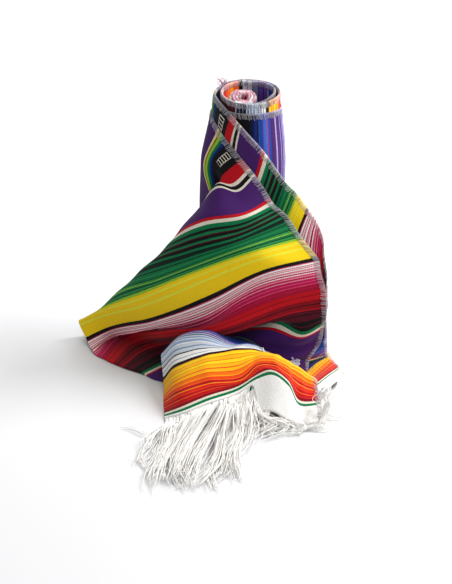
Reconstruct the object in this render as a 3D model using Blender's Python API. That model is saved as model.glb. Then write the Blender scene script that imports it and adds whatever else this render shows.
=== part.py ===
"""A Mexican serape, folded once along its length, rolled up and stood on end.

The outer part of the strip is drawn out of the roll, stands on its fold as a low tent, rolls over in a
hump and lies on the floor in a second, shorter swell that ends in a white heading and fringe.
Lengths are in millimetres and are made metres when a mesh is written. The floor is Z = 0, the roll's axis
is the Z axis, and the strip runs forward, to -Y.
"""

import math

import bmesh
import bpy
import numpy as np

MM = 0.001

# The cloth
LAYER = 1.6  # one layer of the weave
LAYER_GAP = 0.3  # between the two layers of the folded strip
STRIP = 2 * LAYER + LAYER_GAP
FRONT_WIDTH = 321.0  # from the fold to the front layer's serged edge
MARGIN = 24.0  # how far the back layer reaches past the front one

# The roll
ROLL_TURNS = 5.2
ROLL_STEPS = 32  # sections in a turn
ROLL_END_ANGLE = math.radians(97)  # where the outermost turn passes into the drape
ROLL_OUTER = 46.6  # outer radius there
TURN_PITCH = 4.45
LOOSE_TURN = 17.0  # extra room inside the outermost turn
LOOSE_FROM, LOOSE_OVER = 1.2, 0.55  # turns before the end at which that room closes up
CORE_DROP = 3.0  # how much lower the inner turns stand
DROP_FROM, DROP_OVER = 1.2, 0.5  # turns before the end at which they sink
CORE_SHIFT = 7.5  # how far they stand to the left in the outermost turn
SHIFT_FROM, SHIFT_OVER = 1.2, 0.5  # turns before the end at which they move over
RIM_DEPTH = 44.0  # depth of the grooves between the turns, from the rim
RIM_WAVE, RIM_WAVES = 1.2, 5  # height of the waves in the inner rims, and their number in a turn

# The drape: one row for each section across the strip, from the back of the roll to the valley before the
# hem. Columns: distance from the hem along the cloth, six points of the outer face from the fold to the
# serged edge, and the back layer's own edge.
DRAPE = (
    (645, (-8, 47, 0), (-8, 48, 64), (-8, 48, 130), (-8, 48, 196), (-8, 47, 262), (-8, 46.5, 321),
     (-8, 44.5, 345)),
    (612, (-38, 31, 0), (-40, 32, 64), (-42, 33, 130), (-42, 33, 196), (-40, 32, 262), (-36, 31, 320),
     (-35, 30, 344)),
    (582, (-51, -3, 0), (-55, -3, 64), (-59, -3, 130), (-61, -4, 196), (-58, -4, 262), (-50, -3, 311),
     (-47, -5, 342)),
    (543, (-63, -24, 0), (-60, -31, 66), (-50, -36, 135), (-42, -42, 205), (-54, -31, 262),
     (-39, -28, 295), (-30, -37, 329)),
    (510, (-78, -16, 0), (-67, -22, 70), (-51, -29, 145), (-34, -37, 231), (-37, -42, 262),
     (-20, -44, 275), (-6, -48, 308)),
    (480, (-98, 6, 0), (-90, -6, 100), (-60, -42, 210), (-36, -54, 243), (-18, -58, 239),
     (1, -52, 252), (17, -49, 282)),
    (457, (-108, 4, 0), (-100, -16, 100), (-76, -51, 195), (-34, -70, 223), (-6, -65, 224),
     (15, -54, 235), (30, -50, 263)),
    (434, (-114, -6, 0), (-110, -26, 80), (-98, -48, 164), (-57, -74, 201), (-5, -72, 210),
     (28, -54, 220), (42, -50, 246)),
    (400, (-152, 8, 0), (-150, -8, 58), (-142, -30, 110), (-72, -80, 167), (-10, -83, 188),
     (45, -61, 206), (60, -54, 228)),
    (380, (-196, 18, 2), (-192, 4, 38), (-172, -16, 78), (-110, -66, 127), (-30, -88, 170),
     (55, -66, 192), (70, -57, 214)),
    (362, (-222, 12, 26), (-192, -10, 53), (-137, -50, 94), (-60, -84, 144), (6, -87, 170),
     (64, -72, 180), (78, -63, 205)),
    (337, (-211, -10, 8), (-187, -12, 22), (-125, -46, 56), (-50, -82, 104), (20, -95, 148),
     (83, -81, 158), (88, -73, 184)),
    (312, (-199, -34, 3), (-180, -2, 7), (-150, -24, 26), (-61, -85, 79), (20, -97, 132),
     (86, -88, 144), (90, -81, 164)),
    (285, (-180, -54, 3), (-160, -4, 3), (-112, -54, 40), (-40, -100, 76), (40, -98, 110),
     (92, -96, 122), (93, -90, 142)),
    (260, (-154, -74, 3), (-128, -38, 4), (-66, -70, 40), (-10, -107, 74), (45, -104, 89),
     (94, -99, 96), (94, -96, 114)),
    (241, (-133, -87, 3), (-104, -58, 4), (-38, -68, 22), (28, -92, 76), (66, -103, 68),
     (94, -94, 79), (93, -98, 95)),
    (215, (-118, -100, 3), (-88, -76, 3), (-36, -78, 4), (18, -93, 52), (62, -94, 48), (92, -86, 56),
     (95, -92, 72)),
    (188, (-106, -106, 3), (-60, -94, 3), (-20, -94, 6), (16, -101, 30), (50, -101, 30),
     (87, -82, 26), (101, -60, 14)),
)

# The end: nine points in a row, from the fold to the serged edge, and the back layer's edge. The hem is 0.
END = (
    (184, (-98, -86, 14), (-74, -80, 28), (-42, -88, 44), (-12, -98, 60), (16, -107, 47),
     (36, -108, 33), (56, -106, 22), (70, -98, 11), (74, -90, 8), (103, -52, 6)),
    (160, (-104, -90, 26), (-80, -88, 54), (-44, -99, 68), (-14, -111, 63), (12, -122, 57),
     (36, -124, 38), (54, -118, 24), (66, -106, 13), (72, -98, 9), (103, -46, 9)),
    (125, (-109, -97, 34), (-88, -100, 57), (-60, -108, 66), (-24, -121, 66), (12, -130, 62),
     (36, -136, 48), (52, -130, 34), (62, -120, 20), (68, -112, 13), (106, -54, 7)),
    (95, (-106, -118, 12), (-87, -137, 44), (-60, -138, 55), (-20, -135, 62), (10, -133, 63),
     (36, -140, 56), (52, -138, 46), (66, -134, 33), (78, -128, 18), (111, -68, 6)),
    (70, (-105, -134, 5), (-87, -154, 37), (-55, -154, 50), (-12, -149, 54), (14, -142, 60),
     (35, -146, 57), (50, -148, 51), (66, -147, 38), (81, -146, 27), (115, -78, 6)),
    (35, (-104, -160, 3), (-84, -176, 26), (-50, -173, 37), (-8, -166, 40), (12, -156, 53),
     (26, -158, 54), (45, -167, 47), (61, -166, 30), (82, -158, 18), (119, -100, 6)),
    (0, (-101, -190, 3), (-82, -196, 13), (-50, -188, 23), (-14, -174, 29), (10, -168, 42),
     (26, -170, 48), (45, -180, 39), (58, -184, 15), (85, -172, 8), (106, -146, 3)),
    (-28, (-100, -218, 3), (-82, -220, 3), (-50, -210, 4), (-18, -198, 6), (8, -190, 22),
     (26, -192, 28), (42, -200, 12), (60, -206, 3), (86, -198, 3), (96, -176, 2)),
)
DRAPE_ACROSS, DRAPE_STEP = 23, 12.0
END_ACROSS, END_STEP = 31, 12.5

# The fringe: one row for each bunch, with the share of the hem it starts from (0 fold, 1 serged edge), how
# far it reaches, how much it leans to +X for each unit forward, and how high it arches.
FRINGE_FRONT = ((0.0, 104, -0.05, 7), (0.2, 117, -0.16, 12), (0.42, 112, -0.22, 16), (0.56, 80, -0.16, 14),
                (0.66, 36, 0.05, 8), (0.82, 26, 0.30, 4), (1.0, 30, 0.45, 3))
FRINGE_BACK = ((0.0, 90, 0.02, 0), (0.2, 94, -0.14, 0), (0.42, 86, -0.20, 0), (0.56, 64, -0.10, 0),
               (0.66, 30, 0.10, 0), (0.82, 24, 0.35, 0), (1.0, 24, 0.50, 0))
FRONT_LOCKS, BACK_LOCKS = 46, 42
FRONT_LIES, BACK_LIES = 4.6, 1.7  # height of the locks' middles where they lie on the floor
STRIP_DEPTH = 5.0
HEM_GAP = 0.5  # from the hem to the strip, along the floor
LOCK_WIDTH, LOCK_TIP = 2.3, 1.0
LOCK_HALF_HEIGHT = 0.8
LOCK_RINGS = 5
LOCK_UNEVEN, LOCK_BEAT = 0.1, 2.4  # how much the locks' reach varies, and how fast from lock to lock
TURN_BY, DOWN_BY, ARCH_BY = 0.4, 0.8, 0.85  # shares of a lock where it has turned, come down and arched
SWAY, SWAY_TURN, SWAY_SHIFT = 2.2, 5.0, 9.0  # sideways sway: its size, radians in a lock and along the hem

SHARP_ANGLE = math.radians(50)
EDGE_POINTS = 8  # points of a section round the two serged edges

PURPLE = (0.16, 0.05, 0.30, 1.0)
GREEN = (0.02, 0.22, 0.10, 1.0)
ORANGE = (0.85, 0.30, 0.03, 1.0)
WHITE = (0.88, 0.86, 0.82, 1.0)
ECRU = (0.80, 0.77, 0.70, 1.0)
WOOL_ROUGHNESS, YARN_ROUGHNESS = 0.9, 0.85


def clear_scene():
    for item in list(bpy.data.objects):
        bpy.data.objects.remove(item, do_unlink=True)


def material(name, colour, roughness):
    made = bpy.data.materials.new(name)
    made.use_nodes = True
    shader = made.node_tree.nodes["Principled BSDF"]
    shader.inputs["Base Color"].default_value = colour
    shader.inputs["Roughness"].default_value = roughness
    made.diffuse_color = colour
    return made


def add_solid(name, points, faces, finish, collection):
    """A closed mesh object from points in millimetres and faces of any number of corners."""
    mesh = bpy.data.meshes.new(name)
    mesh.from_pydata((np.asarray(points) * MM).tolist(), [], faces)
    bm = bmesh.new()
    bm.from_mesh(mesh)
    bmesh.ops.recalc_face_normals(bm, faces=bm.faces)
    if bm.calc_volume(signed=True) < 0:
        bmesh.ops.reverse_faces(bm, faces=bm.faces)
    bm.to_mesh(mesh)
    bm.free()
    mesh.shade_smooth()
    mesh.set_sharp_from_angle(angle=SHARP_ANGLE)
    mesh.materials.append(finish)
    made = bpy.data.objects.new(name, mesh)
    collection.objects.link(made)
    return made


def spline(knots, values, at):
    """Smooth curve through values at uneven knots, each slope a mean of its neighbours'."""
    knots, values = np.asarray(knots, float), np.asarray(values, float)
    wide = (-1,) + (1,) * (values.ndim - 1)
    step = np.diff(knots)
    slope = np.diff(values, axis=0) / step.reshape(wide)
    share = (step[:-1] / (step[:-1] + step[1:])).reshape(wide)
    tangent = np.empty_like(values)
    tangent[1:-1] = slope[:-1] * (1 - share) + slope[1:] * share
    tangent[0], tangent[-1] = slope[0], slope[-1]
    i = np.clip(np.searchsorted(knots, at, side="right") - 1, 0, len(step) - 1)
    length = step[i].reshape(wide)
    t = ((at - knots[i]) / step[i]).reshape(wide)
    return (
        (2 * t**3 - 3 * t**2 + 1) * values[i]
        + (t**3 - 2 * t**2 + t) * length * tangent[i]
        + (3 * t**2 - 2 * t**3) * values[i + 1]
        + (t**3 - t**2) * length * tangent[i + 1]
    )


def evenly(points, count):
    """count points at equal distances along the smooth curve through points."""
    points = np.asarray(points, float)
    chord = np.r_[0, np.cumsum(np.linalg.norm(np.diff(points, axis=0), axis=1))]
    fine = spline(chord, points, np.linspace(0, chord[-1], 12 * count))
    run = np.r_[0, np.cumsum(np.linalg.norm(np.diff(fine, axis=0), axis=1))]
    at = np.linspace(0, run[-1], count)
    return np.stack([np.interp(at, run, fine[:, axis]) for axis in range(3)], axis=-1)


def face_of(rows, across, step):
    """The outer face as a grid [along, across], and the back layer's edge, from a table of sections."""
    rows = sorted(rows)
    along = [row[0] for row in rows]
    sections = np.array([evenly(row[1:-1], across) for row in rows])
    at = np.linspace(along[0], along[-1], round((along[-1] - along[0]) / step) + 1)
    return spline(along, sections, at), spline(along, [row[-1] for row in rows], at)


def unit(vectors):
    return vectors / np.maximum(np.linalg.norm(vectors, axis=-1, keepdims=True), 1e-9)


def outward(face):
    """Unit normals of a grid, pointing out of the face."""
    return unit(np.cross(np.gradient(face, axis=1), np.gradient(face, axis=0)))


def folded_strip(name, rows, across, step, finish, collection):
    """The doubled cloth as one wall, parted into its two layers at the serged edges."""
    face, edge = face_of(rows, across, step)
    out = outward(face)
    slit = across - 2
    ring = [face[:, i] for i in range(across)]
    ring.append(face[:, -1] - out[:, -1] * LAYER)
    ring.append(face[:, slit] - out[:, slit] * LAYER)
    ring.append(face[:, slit] - out[:, slit] * (LAYER + LAYER_GAP))
    back_top = face[:, -1] - out[:, -1] * (LAYER + LAYER_GAP)
    ring.append(back_top)
    reach = edge - back_top
    side = unit(np.cross(np.gradient(edge, axis=0), reach))
    side *= np.sign((side * out[:, -1]).sum(-1, keepdims=True))
    middle = back_top + reach * 0.5
    ring += [middle, edge, edge - side * LAYER, middle - side * LAYER]
    ring += [face[:, i] - out[:, i] * STRIP for i in range(across - 1, -1, -1)]
    fold_way = unit(face[:, 0] - face[:, 1])
    ring.append(face[:, 0] - out[:, 0] * STRIP / 2 + fold_way * STRIP / 2)
    grid = np.stack(ring, axis=1)
    lift_from_floor(grid, across)
    add_solid(name, *loft(grid, across), finish, collection)
    return grid


def underside(across):
    """Places in a section of the inner face's points, in the order of the outer face's."""
    return [across + EDGE_POINTS + across - 1 - i for i in range(across)]


def lift_from_floor(grid, across):
    """Raises each stack of points through the wall, as one, until its lowest is on the floor."""
    count = grid.shape[1]
    pairs = [[i, under] for i, under in enumerate(underside(across))]
    pairs[0].append(count - 1)
    pairs[across - 2] += [across + 1, across + 2]
    pairs[across - 1] += [across, across + 3]
    pairs += [[across + 4, across + 7], [across + 5, across + 6]]
    for stack in pairs:
        low = np.minimum(grid[:, stack, 2].min(axis=1), 0)
        grid[:, stack, 2] -= low[:, None]


def loft(grid, across):
    """Points and faces of a closed section carried along: its sides, and two ends made as strips."""
    rows, count = grid.shape[:2]
    faces = []
    for j in range(rows - 1):
        for i in range(count):
            k = (i + 1) % count
            faces.append((j * count + i, j * count + k, (j + 1) * count + k, (j + 1) * count + i))
    back = underside(across)
    end = [(0, 1, back[1], back[0], count - 1)]
    end += [(i, i + 1, back[i + 1], back[i]) for i in range(1, across - 3)]
    slit = across - 2
    end.append((slit - 1, slit, across + 1, across + 2, back[slit], back[slit - 1]))
    end.append((slit, across - 1, across, across + 1))
    end.append((across + 2, across + 3, back[across - 1], back[slit]))
    end.append((across + 3, across + 4, across + 7, back[across - 1]))
    end.append((across + 4, across + 5, across + 6, across + 7))
    for start in (0, (rows - 1) * count):
        faces += [tuple(start + i for i in face) for face in end]
    return grid.reshape(-1, 3), faces


def hem_layer(grid, across, above, below):
    """A layer's top and bottom lines at the hem, from its depths under the face, and the way ahead."""
    top, bottom = grid[0, :across], grid[0, underside(across)]
    forward = unit(grid[0, :across] - grid[1, :across])
    return top + (bottom - top) * above / STRIP, top + (bottom - top) * below / STRIP, forward


def read_at(line, at):
    """Points at the shares at of a line's length."""
    run = np.r_[0, np.cumsum(np.linalg.norm(np.diff(line, axis=0), axis=1))]
    at = np.asarray(at) * run[-1]
    return np.stack([np.interp(at, run, line[:, axis]) for axis in range(3)], axis=-1)


def build_fringe(name, layer, bunches, locks, floor, finish, collection):
    """A narrow strip along the hem with locks drawn out of its front faces, as one closed body."""
    top, bottom, forward = layer
    length = np.linalg.norm(np.diff(top, axis=0), axis=1).sum()
    centre = (np.arange(locks) + 0.5) / locks
    half = LOCK_WIDTH / 2 / length
    cuts = np.r_[0, np.stack([centre - half, centre + half], axis=1).ravel(), 1]
    ahead = unit(read_at(forward, cuts) * (1, 1, 0))
    lines = [read_at(top, cuts) + ahead * HEM_GAP, read_at(bottom, cuts) + ahead * HEM_GAP]
    lines += [lines[1] + ahead * STRIP_DEPTH, lines[0] + ahead * STRIP_DEPTH]
    strip = np.stack(lines, axis=1)
    points, faces = strip.reshape(-1, 3).tolist(), [(0, 1, 2, 3)]
    for k in range(len(cuts) - 1):
        is_lock = k % 2 == 1
        for i in (0, 1, 2, 3):
            if i == 2 and is_lock:
                continue
            j = (i + 1) % 4
            faces.append((4 * k + i, 4 * k + j, 4 * k + 4 + j, 4 * k + 4 + i))
        if is_lock:
            root = [4 * k + 2, 4 * k + 6, 4 * k + 7, 4 * k + 3]
            start = strip[k : k + 2, 2:].mean(axis=(0, 1))
            for ring in lock_rings(start, k // 2, centre[k // 2], bunches, floor, ahead[k]):
                fresh = list(range(len(points), len(points) + 4))
                points += ring.tolist()
                faces += [(root[i], root[(i + 1) % 4], fresh[(i + 1) % 4], fresh[i]) for i in range(4)]
                root = fresh
            faces.append(tuple(root))
    end = 4 * (len(cuts) - 1)
    faces.append((end, end + 1, end + 2, end + 3))
    return add_solid(name, points, faces, finish, collection)


def lock_rings(start, number, share, bunches, floor, ahead):
    """Square rings along a lock, which leaves the strip forwards, arches and comes down on the floor."""
    reach, lean, arch = spline([b[0] for b in bunches], [b[1:] for b in bunches], np.array([share]))[0]
    reach *= 1 + LOCK_UNEVEN * math.sin(LOCK_BEAT * number)
    t = np.linspace(0, 1, LOCK_RINGS + 1)[1:]
    way = unit(np.array([lean, -1.0, 0.0]))
    side = np.array([-way[1], way[0], 0.0])
    up = np.array([0.0, 0.0, 1.0])
    turn = np.clip(t / TURN_BY, 0, 1)[:, None]
    centre = start + (ahead * (1 - turn) + way * turn) * (reach * t)[:, None]
    centre += side * (SWAY * np.sin(SWAY_TURN * t + SWAY_SHIFT * share) * t)[:, None]
    fall = np.clip(t / DOWN_BY, 0, 1) ** 1.5
    hump = np.sin(math.pi * np.clip(t / ARCH_BY, 0, 1)) ** 2
    centre[:, 2] = start[2] + (floor - start[2]) * fall + arch * hump
    half = (LOCK_WIDTH + (LOCK_TIP - LOCK_WIDTH) * t) / 2
    high = np.minimum(half, LOCK_HALF_HEIGHT)
    corners = []
    for across_sign, up_sign in ((-1, -1), (1, -1), (1, 1), (-1, 1)):
        corners.append(centre + side * (across_sign * half)[:, None] + up * (up_sign * high)[:, None])
    return np.stack(corners, axis=1)


def build_roll(finish, collection):
    """The wound strip: a solid whose top is a spiral of rims, the back layer's MARGIN over the front's."""
    turn = 2 * math.pi
    steps = round(ROLL_TURNS * ROLL_STEPS)
    before_end = (steps - np.arange(steps + 1)) / ROLL_STEPS  # turns still to come
    angle = ROLL_END_ANGLE - turn * before_end
    loose = LOOSE_TURN * np.clip((before_end - LOOSE_FROM) / LOOSE_OVER, 0, 1)
    inner = ROLL_OUTER - STRIP - TURN_PITCH * before_end - loose
    drop = CORE_DROP * np.clip((before_end - DROP_FROM) / DROP_OVER, 0, 1)
    drop += RIM_WAVE * (1 + np.sin(RIM_WAVES * angle)) * (before_end > 1)
    top = FRONT_WIDTH + MARGIN - drop
    floor = np.full_like(top, FRONT_WIDTH + MARGIN - RIM_DEPTH)
    radii = [inner, inner, inner + LAYER, inner + LAYER, inner + STRIP, inner + STRIP]
    heights = [floor, top, top, top - MARGIN, top - MARGIN, floor]
    middle = -CORE_SHIFT * np.clip((before_end - SHIFT_FROM) / SHIFT_OVER, 0, 1)
    lines = [
        np.stack([middle + radius * np.cos(angle), radius * np.sin(angle), height], axis=-1)
        for radius, height in zip(radii, heights)
    ]
    count = len(lines)
    points = np.stack(lines, axis=1).reshape(-1, 3).tolist()
    faces = []

    def at(step, i):
        return step * count + i

    for step in range(steps):
        for i in range(count - 1 if step < steps - ROLL_STEPS else count - 2):
            faces.append((at(step, i), at(step, i + 1), at(step + 1, i + 1), at(step + 1, i)))
    for step in range(steps - ROLL_STEPS):
        after = step + ROLL_STEPS
        faces.append((at(step, 5), at(after, 0), at(after + 1, 0), at(step + 1, 5)))
    foot = len(points)
    last = steps - ROLL_STEPS
    for step in range(last, steps + 1):
        x, y, _ = points[at(step, 4)]
        points.append((x, y, 0.0))
    for step in range(last, steps):
        k = foot + step - last
        faces.append((at(step, 4), k, k + 1, at(step + 1, 4)))
    well, base = len(points), len(points) + 1
    points += [(-CORE_SHIFT, 0.0, float(floor[0])), (0.0, 0.0, 0.0)]
    for step in range(ROLL_STEPS):
        faces.append((well, at(step, 0), at(step + 1, 0)))
    faces.append((well, at(ROLL_STEPS, 0), at(0, 5), at(0, 0)))
    faces.append(tuple(at(0, i) for i in range(count)))
    for step in range(last, steps):
        k = foot + step - last
        faces.append((base, k, k + 1))
    faces.append((base, foot + ROLL_STEPS, foot))
    outer_end = [at(steps, i) for i in range(5)]
    faces.append((at(last, 4), at(last, 5), *outer_end, foot + ROLL_STEPS, foot))
    return add_solid("rolled_cloth", points, faces, finish, collection)


def main():
    clear_scene()
    collection = bpy.data.collections.new("serape")
    bpy.context.scene.collection.children.link(collection)
    purple = material("purple_wool", PURPLE, WOOL_ROUGHNESS)
    green = material("green_wool", GREEN, WOOL_ROUGHNESS)
    orange = material("orange_wool", ORANGE, WOOL_ROUGHNESS)
    white = material("white_yarn", WHITE, YARN_ROUGHNESS)
    ecru = material("ecru_yarn", ECRU, YARN_ROUGHNESS)
    build_roll(purple, collection)
    folded_strip("draped_cloth", DRAPE, DRAPE_ACROSS, DRAPE_STEP, green, collection)
    end = folded_strip("end_cloth", END, END_ACROSS, END_STEP, orange, collection)
    front = hem_layer(end, END_ACROSS, 0, LAYER)
    back = hem_layer(end, END_ACROSS, LAYER + LAYER_GAP, STRIP)
    build_fringe("front_fringe", front, FRINGE_FRONT, FRONT_LOCKS, FRONT_LIES, white, collection)
    build_fringe("back_fringe", back, FRINGE_BACK, BACK_LOCKS, BACK_LIES, ecru, collection)


main()
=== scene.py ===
# %% [markdown]
# # A rolled serape
# A serape is one long woven cloth. This one was folded once along its length, rolled up, stood on end and
# partly drawn out of its roll, so that it falls over the floor in a low tent and ends in a white fringe.
# The lesson dresses the plain solids of that shape with the cloth itself: two thin layers, their stripes,
# the overlocked edges and the yarns of the fringe.

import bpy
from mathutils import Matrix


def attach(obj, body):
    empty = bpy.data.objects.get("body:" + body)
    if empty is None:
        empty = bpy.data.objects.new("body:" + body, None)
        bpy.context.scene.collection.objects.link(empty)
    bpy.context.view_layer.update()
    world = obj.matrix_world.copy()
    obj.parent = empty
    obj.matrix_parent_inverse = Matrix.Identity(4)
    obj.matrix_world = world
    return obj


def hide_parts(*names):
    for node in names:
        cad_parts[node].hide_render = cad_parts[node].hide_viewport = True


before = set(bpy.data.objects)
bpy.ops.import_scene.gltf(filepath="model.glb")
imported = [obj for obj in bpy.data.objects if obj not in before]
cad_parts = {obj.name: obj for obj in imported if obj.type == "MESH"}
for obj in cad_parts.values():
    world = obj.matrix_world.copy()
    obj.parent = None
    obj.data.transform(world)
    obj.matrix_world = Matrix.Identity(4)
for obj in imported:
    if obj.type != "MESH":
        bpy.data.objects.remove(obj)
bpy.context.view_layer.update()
print("solids:", sorted(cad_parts))

# %% Tools and units
import math

import bpy
import numpy as np
from mathutils import Vector

MM = 0.001
RANDOM = np.random.default_rng(7)
scene = bpy.context.scene
print("lengths are in millimetres until a mesh is written")

# %% [markdown]
# ## The cloth's own sizes
# Every surface below is a function of two lengths on the cloth: how far a point is from the hem along the
# strip, and how far it is from the fold across it. Fixing those two first means that stripes, stitches and
# folds can all be placed with a tape measure, as a weaver would.

# %% Sizes of the folded strip
LAYER = 1.6  # one layer of the weave
LAYER_GAP = 0.3
STRIP = 2 * LAYER + LAYER_GAP
SHEET = 1.5  # thickness of the modelled cloth, a little under a layer
FRONT_WIDTH = 321.0  # fold to the front layer's serged edge
MARGIN = 24.0  # how far the back layer shows past it
BACK_WIDTH = FRONT_WIDTH + MARGIN
HEADING = 28.0  # the white band before the fringe
SKEW = 42.0  # the back layer's stripes sit this much further from the hem at its serged edge
END_SKEW = 20.0  # and this much more by the end

# %% [markdown]
# ## The shape as sections
# Draped cloth has no formula, but a few cross sections describe it well. Each row is a line of equal distance
# from the hem, laid over the drape from the fold to the serged edge. Cubic curves through the rows, first
# across and then along, give the smooth face. In the drape, the rows lie nearly as far apart as the cloth is
# long between them. In the end they lie closer than that, so it has less cloth than its cut.

# %% Sections of the drape and of the end
DRAPE = (
    (645, (-8, 46, 0), (-8, 47, 64), (-8, 47, 130), (-8, 47, 196), (-8, 46, 262), (-8, 45, 321),
     (-8, 43, 345)),
    (612, (-38, 31, 0), (-40, 32, 64), (-42, 33, 130), (-42, 33, 196), (-40, 32, 262), (-33, 30, 320),
     (-31, 28, 344)),
    (582, (-51, -3, 0), (-55, -3, 64), (-59, -3, 130), (-61, -4, 196), (-58, -4, 262), (-47, -3, 320),
     (-43, -5, 342)),
    (543, (-63, -24, 0), (-60, -31, 66), (-50, -36, 135), (-42, -42, 205), (-54, -31, 262),
     (-36, -31, 302), (-23, -37, 325)),
    (510, (-78, -16, 0), (-67, -22, 70), (-51, -29, 145), (-34, -37, 231), (-37, -42, 262),
     (-17, -45, 281), (-6, -48, 308)),
    (480, (-98, 6, 0), (-90, -6, 100), (-60, -42, 210), (-36, -54, 243), (-18, -58, 239),
     (4, -52, 257), (17, -49, 282)),
    (457, (-108, 4, 0), (-100, -16, 100), (-76, -51, 195), (-34, -70, 223), (-6, -65, 224),
     (17, -53, 238), (30, -50, 263)),
    (434, (-114, -6, 0), (-110, -26, 80), (-98, -48, 164), (-57, -74, 201), (-5, -72, 210),
     (28, -54, 220), (42, -50, 246)),
    (400, (-152, 8, 0), (-150, -8, 58), (-142, -30, 110), (-72, -80, 167), (-10, -83, 188),
     (45, -61, 206), (60, -54, 228)),
    (380, (-196, 18, 2), (-192, 4, 38), (-172, -16, 78), (-110, -66, 127), (-30, -88, 170),
     (55, -66, 192), (70, -57, 214)),
    (362, (-222, 12, 26), (-192, -10, 53), (-137, -50, 94), (-60, -84, 144), (6, -87, 170),
     (64, -72, 180), (78, -63, 205)),
    (337, (-211, -10, 8), (-187, -12, 22), (-125, -46, 56), (-50, -82, 104), (20, -95, 148),
     (83, -81, 158), (88, -73, 184)),
    (312, (-199, -34, 3), (-180, -2, 7), (-150, -24, 26), (-61, -85, 79), (20, -97, 132),
     (86, -88, 144), (90, -81, 164)),
    (285, (-180, -54, 3), (-160, -4, 3), (-112, -54, 40), (-40, -100, 76), (40, -98, 110),
     (92, -96, 122), (93, -90, 142)),
    (260, (-154, -74, 3), (-128, -38, 4), (-66, -70, 40), (-10, -107, 74), (45, -104, 89),
     (94, -99, 96), (94, -96, 114)),
    (241, (-133, -87, 3), (-104, -58, 4), (-4, -62, 58), (36, -90, 77), (66, -103, 68),
     (94, -94, 79), (93, -98, 95)),
    (229, (-126, -93, 3), (-96, -66, 4), (-10, -68, 50), (28, -92, 66), (64, -98, 58),
     (93, -90, 67), (94, -95, 83)),
    (215, (-118, -100, 3), (-88, -76, 3), (-36, -78, 4), (18, -93, 52), (62, -94, 48), (92, -86, 56),
     (95, -92, 72)),
    (203, (-112, -103, 3), (-74, -85, 3), (-28, -86, 4), (17, -97, 42), (56, -99, 38), (89, -84, 42),
     (98, -78, 44)),
    (192, (-106, -106, 3), (-60, -94, 3), (-20, -94, 6), (16, -101, 32), (50, -102, 28),
     (76, -87, 22), (101, -60, 14)),
)
END = (
    (184, (-98, -86, 14), (-74, -80, 28), (-42, -88, 44), (-12, -98, 60), (16, -106, 49),
     (36, -108, 28), (56, -106, 20), (70, -98, 10), (74, -90, 6), (103, -52, 6)),
    (160, (-104, -90, 26), (-80, -88, 54), (-44, -99, 68), (-14, -111, 59), (12, -121, 58),
     (36, -124, 38), (54, -118, 24), (66, -106, 13), (72, -98, 7), (103, -46, 9)),
    (125, (-109, -97, 34), (-88, -100, 57), (-60, -108, 66), (-24, -121, 61), (12, -129, 63),
     (36, -136, 48), (52, -130, 34), (62, -120, 20), (68, -112, 13), (106, -54, 7)),
    (95, (-106, -118, 12), (-87, -137, 44), (-60, -138, 55), (-20, -135, 62), (10, -133, 62),
     (36, -140, 56), (52, -138, 46), (66, -134, 33), (78, -128, 18), (111, -68, 6)),
    (70, (-105, -134, 5), (-87, -154, 37), (-55, -154, 50), (-12, -149, 54), (14, -142, 60),
     (35, -146, 57), (50, -148, 51), (66, -147, 38), (81, -146, 27), (115, -78, 6)),
    (35, (-104, -160, 3), (-84, -176, 26), (-50, -173, 37), (-8, -166, 40), (12, -156, 53),
     (26, -158, 54), (45, -167, 47), (61, -166, 30), (82, -158, 18), (119, -100, 6)),
    (0, (-101, -190, 3), (-82, -196, 13), (-50, -188, 23), (-14, -174, 29), (10, -168, 42),
     (26, -170, 48), (45, -180, 39), (58, -184, 15), (85, -172, 8), (106, -146, 3)),
    (-28, (-100, -218, 3), (-82, -220, 3), (-50, -210, 4), (-18, -200, 6), (8, -198, 13),
     (26, -202, 17), (42, -206, 8), (60, -208, 3), (86, -198, 3), (96, -176, 2)),
)
print("sections:", len(DRAPE), "in the drape and", len(END), "in the end")


# %% Curves through the sections
def spline(knots, values, at):
    """Cubic Hermite curve through values at uneven knots, each slope a mean weighted by the knots."""
    knots, values = np.asarray(knots, float), np.asarray(values, float)
    wide = (-1,) + (1,) * (values.ndim - 1)
    step = np.diff(knots)
    slope = np.diff(values, axis=0) / step.reshape(wide)
    share = (step[:-1] / (step[:-1] + step[1:])).reshape(wide)
    tangent = np.concatenate([slope[:1], slope[:-1] * (1 - share) + slope[1:] * share, slope[-1:]])
    i = np.clip(np.searchsorted(knots, at, side="right") - 1, 0, len(step) - 1)
    length = step[i].reshape(wide)
    t = ((at - knots[i]) / step[i]).reshape(wide)
    return (
        (2 * t**3 - 3 * t**2 + 1) * values[i]
        + (t**3 - 2 * t**2 + t) * length * tangent[i]
        + (3 * t**2 - 2 * t**3) * values[i + 1]
        + (t**3 - t**2) * length * tangent[i + 1]
    )


def run_of(line):
    """Distance along a polyline at each of its points."""
    return np.r_[0, np.cumsum(np.linalg.norm(np.diff(line, axis=0), axis=1))]


def evenly(points, count):
    """count points at equal distances along the smooth curve through points."""
    chord = run_of(np.asarray(points, float))
    fine = spline(chord, points, np.linspace(0, chord[-1], 12 * count))
    run = run_of(fine)
    at = np.linspace(0, run[-1], count)
    return np.stack([np.interp(at, run, fine[:, axis]) for axis in range(3)], axis=-1)


def face_of(rows, across, step):
    """Outer face as a grid [along, across], the back layer's edge, and each row's distance from the hem."""
    rows = sorted(rows)
    along = [row[0] for row in rows]
    sections = np.array([evenly(row[1:-1], across) for row in rows])
    at = np.linspace(along[0], along[-1], round((along[-1] - along[0]) / step) + 1)
    return spline(along, sections, at), spline(along, [row[-1] for row in rows], at), at


# %% Small vector helpers
def unit(vectors):
    return vectors / np.maximum(np.linalg.norm(vectors, axis=-1, keepdims=True), 1e-9)


def normals_of(grid):
    """Cross product of a grid's two directions: it points out of the face."""
    return unit(np.cross(np.gradient(grid, axis=1), np.gradient(grid, axis=0)))


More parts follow.
